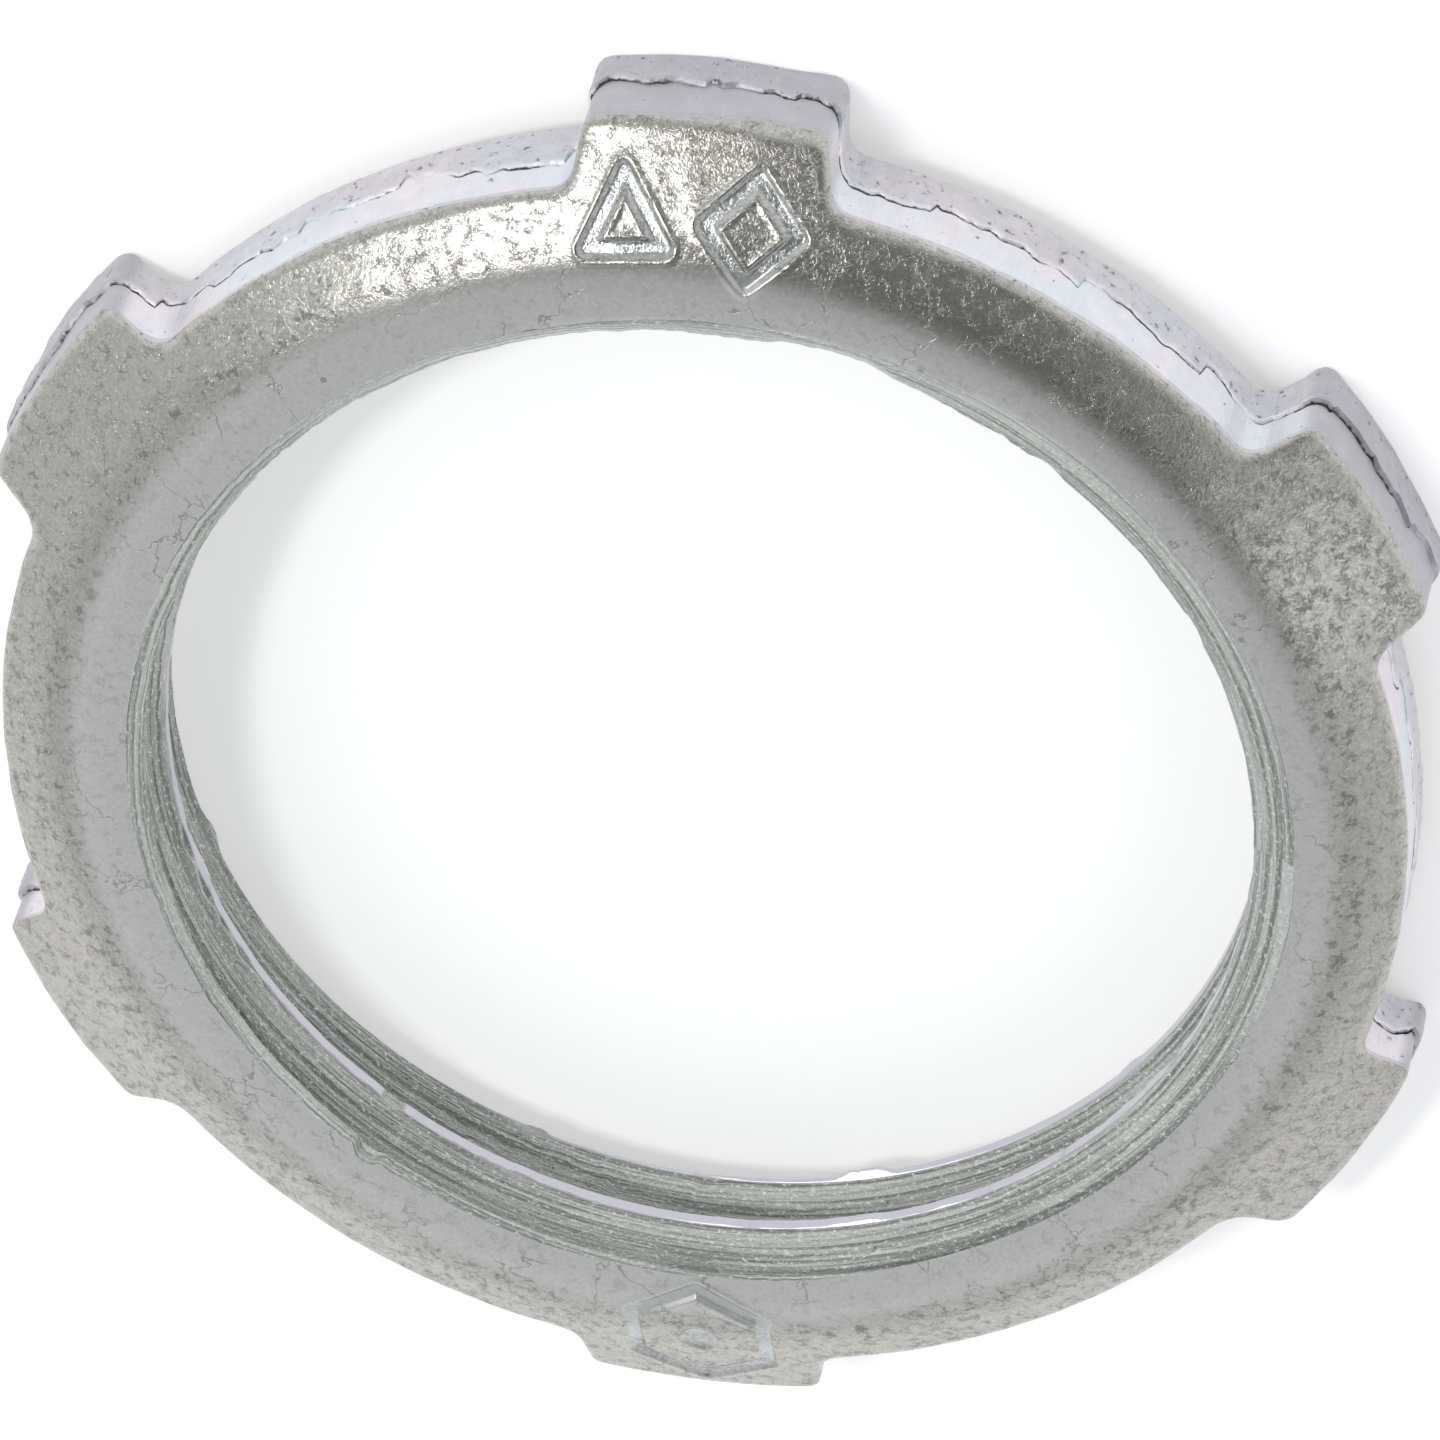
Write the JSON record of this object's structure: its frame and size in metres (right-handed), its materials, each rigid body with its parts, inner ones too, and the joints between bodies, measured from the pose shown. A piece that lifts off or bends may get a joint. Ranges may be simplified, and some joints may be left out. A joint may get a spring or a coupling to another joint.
{
  "type": "conduit locknut",
  "caption": "Stamped steel ring nut with a straight internal thread, a coined conical rim and square driving lugs that bend towards the panel side.",
  "frame": {"origin": "on the bore axis, in the plane that the lug tips touch", "axes": "+Z along the bore axis from the panel side to the front side; -Y through the middle of one lug"},
  "size_m": [0.0404, 0.0434, 0.0052],
  "materials": {
    "zinc_plated_steel": "satin zinc electroplate over stamped steel, smooth on the flat face, mottled where coined, rough on the sheared walls"
  },
  "bodies": {
    "root": {"locknut": "zinc_plated_steel"}
  },
  "joints": []
}
